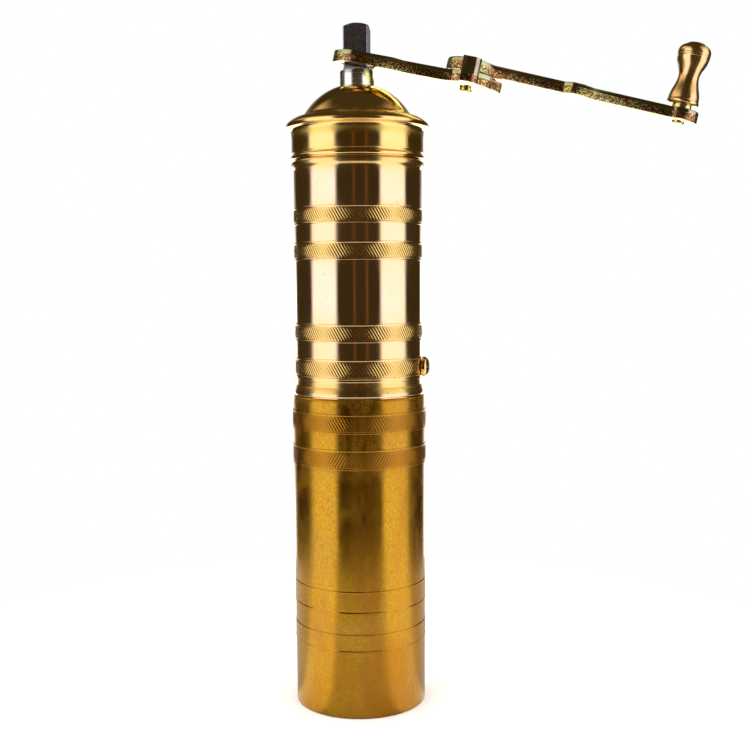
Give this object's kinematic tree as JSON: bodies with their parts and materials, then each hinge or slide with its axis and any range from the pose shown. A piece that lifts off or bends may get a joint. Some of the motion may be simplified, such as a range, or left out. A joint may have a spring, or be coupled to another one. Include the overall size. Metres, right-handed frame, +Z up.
{
  "type": "hand crank coffee grinder",
  "caption": "Slim cylindrical brass hand mill with a domed lid, pull-off grounds cup, adjustable cone burr and a folding crank with a turned knob.",
  "frame": {"origin": "centre of the cup's flat base, on the surface it stands on", "axes": "+Z up the mill's axis, +X towards the crank's knob, -Y towards the side with the crank's stop tab"},
  "size_m": [0.1564, 0.0526, 0.2521],
  "materials": {
    "polished_brass": "polished",
    "satin_brass": "satin, lightly tarnished",
    "knob_brass": "turned and polished",
    "chrome_steel": "polished, ground on the square",
    "bright_steel": "bright",
    "zinc_steel": "yellow passivated zinc",
    "burr_iron": "machined and hardened"
  },
  "bodies": {
    "mill": {"body_tube": "polished_brass", "burr_ring": "burr_iron", "burr_screw": "polished_brass", "hopper_bridge": "satin_brass", "bridge_bush": "satin_brass", "spring": "bright_steel", "bottom_bridge": "bright_steel", "bridge_screws": "bright_steel"},
    "cup": {"cup_wall": "satin_brass", "cup_base": "satin_brass"},
    "thrust": {"thrust_ball": "bright_steel"},
    "adjuster": {"adjusting_screw": "satin_brass"},
    "drive": {"shaft": "chrome_steel", "cone_burr": "burr_iron", "drive_pin": "bright_steel", "spring_washer": "bright_steel"},
    "lid": {"lid_dome": "polished_brass", "lid_skirt": "polished_brass"},
    "crank_inner": {"crank_inner_link": "zinc_steel", "hinge_rivet": "zinc_steel", "hinge_washer": "bright_steel"},
    "crank_outer": {"crank_outer_link": "zinc_steel", "knob_washer": "zinc_steel", "knob_rivet": "zinc_steel"},
    "knob": {"knob": "knob_brass"}
  },
  "joints": [
    {"name": "cup_pull", "type": "slide", "parent": "mill", "child": "cup", "axis": [0, 0, -1], "range_m": [0, 0.06]},
    {"name": "burr_gap", "type": "slide", "parent": "mill", "child": "thrust", "axis": [0, 0, 1], "range_m": [-0.0015, 0.0005], "deforming": ["spring"]},
    {"name": "adjuster_turn", "type": "hinge", "parent": "thrust", "child": "adjuster", "pos_m": [0, 0, 0.1], "axis": [0, 0, 1], "range_deg": [-541, 181]},
    {"name": "shaft_spin", "type": "hinge", "parent": "thrust", "child": "drive", "pos_m": [0, 0, 0.15], "axis": [0, 0, -1], "continuous": true},
    {"name": "lid_lift", "type": "slide", "parent": "mill", "child": "lid", "axis": [0, 0, 1], "range_m": [0, 0.056]},
    {"name": "crank_lift", "type": "slide", "parent": "drive", "child": "crank_inner", "axis": [0, 0, 1], "range_m": [0, 0.068]},
    {"name": "crank_fold", "type": "hinge", "parent": "crank_inner", "child": "crank_outer", "pos_m": [0.04123, 0, 0.23396], "axis": [0.2233, 0, 0.9748], "range_deg": [0, 166]},
    {"name": "knob_spin", "type": "hinge", "parent": "crank_outer", "child": "knob", "pos_m": [0.11843, 0, 0.21628], "axis": [0.2233, 0, 0.9748], "continuous": true}
  ],
  "couplings": [
    {"joint": "adjuster_turn", "follows": "burr_gap", "rad_per_m": 6283.2},
    {"joint": "lid_lift", "follows": "crank_lift", "ratio": 0.8}
  ]
}
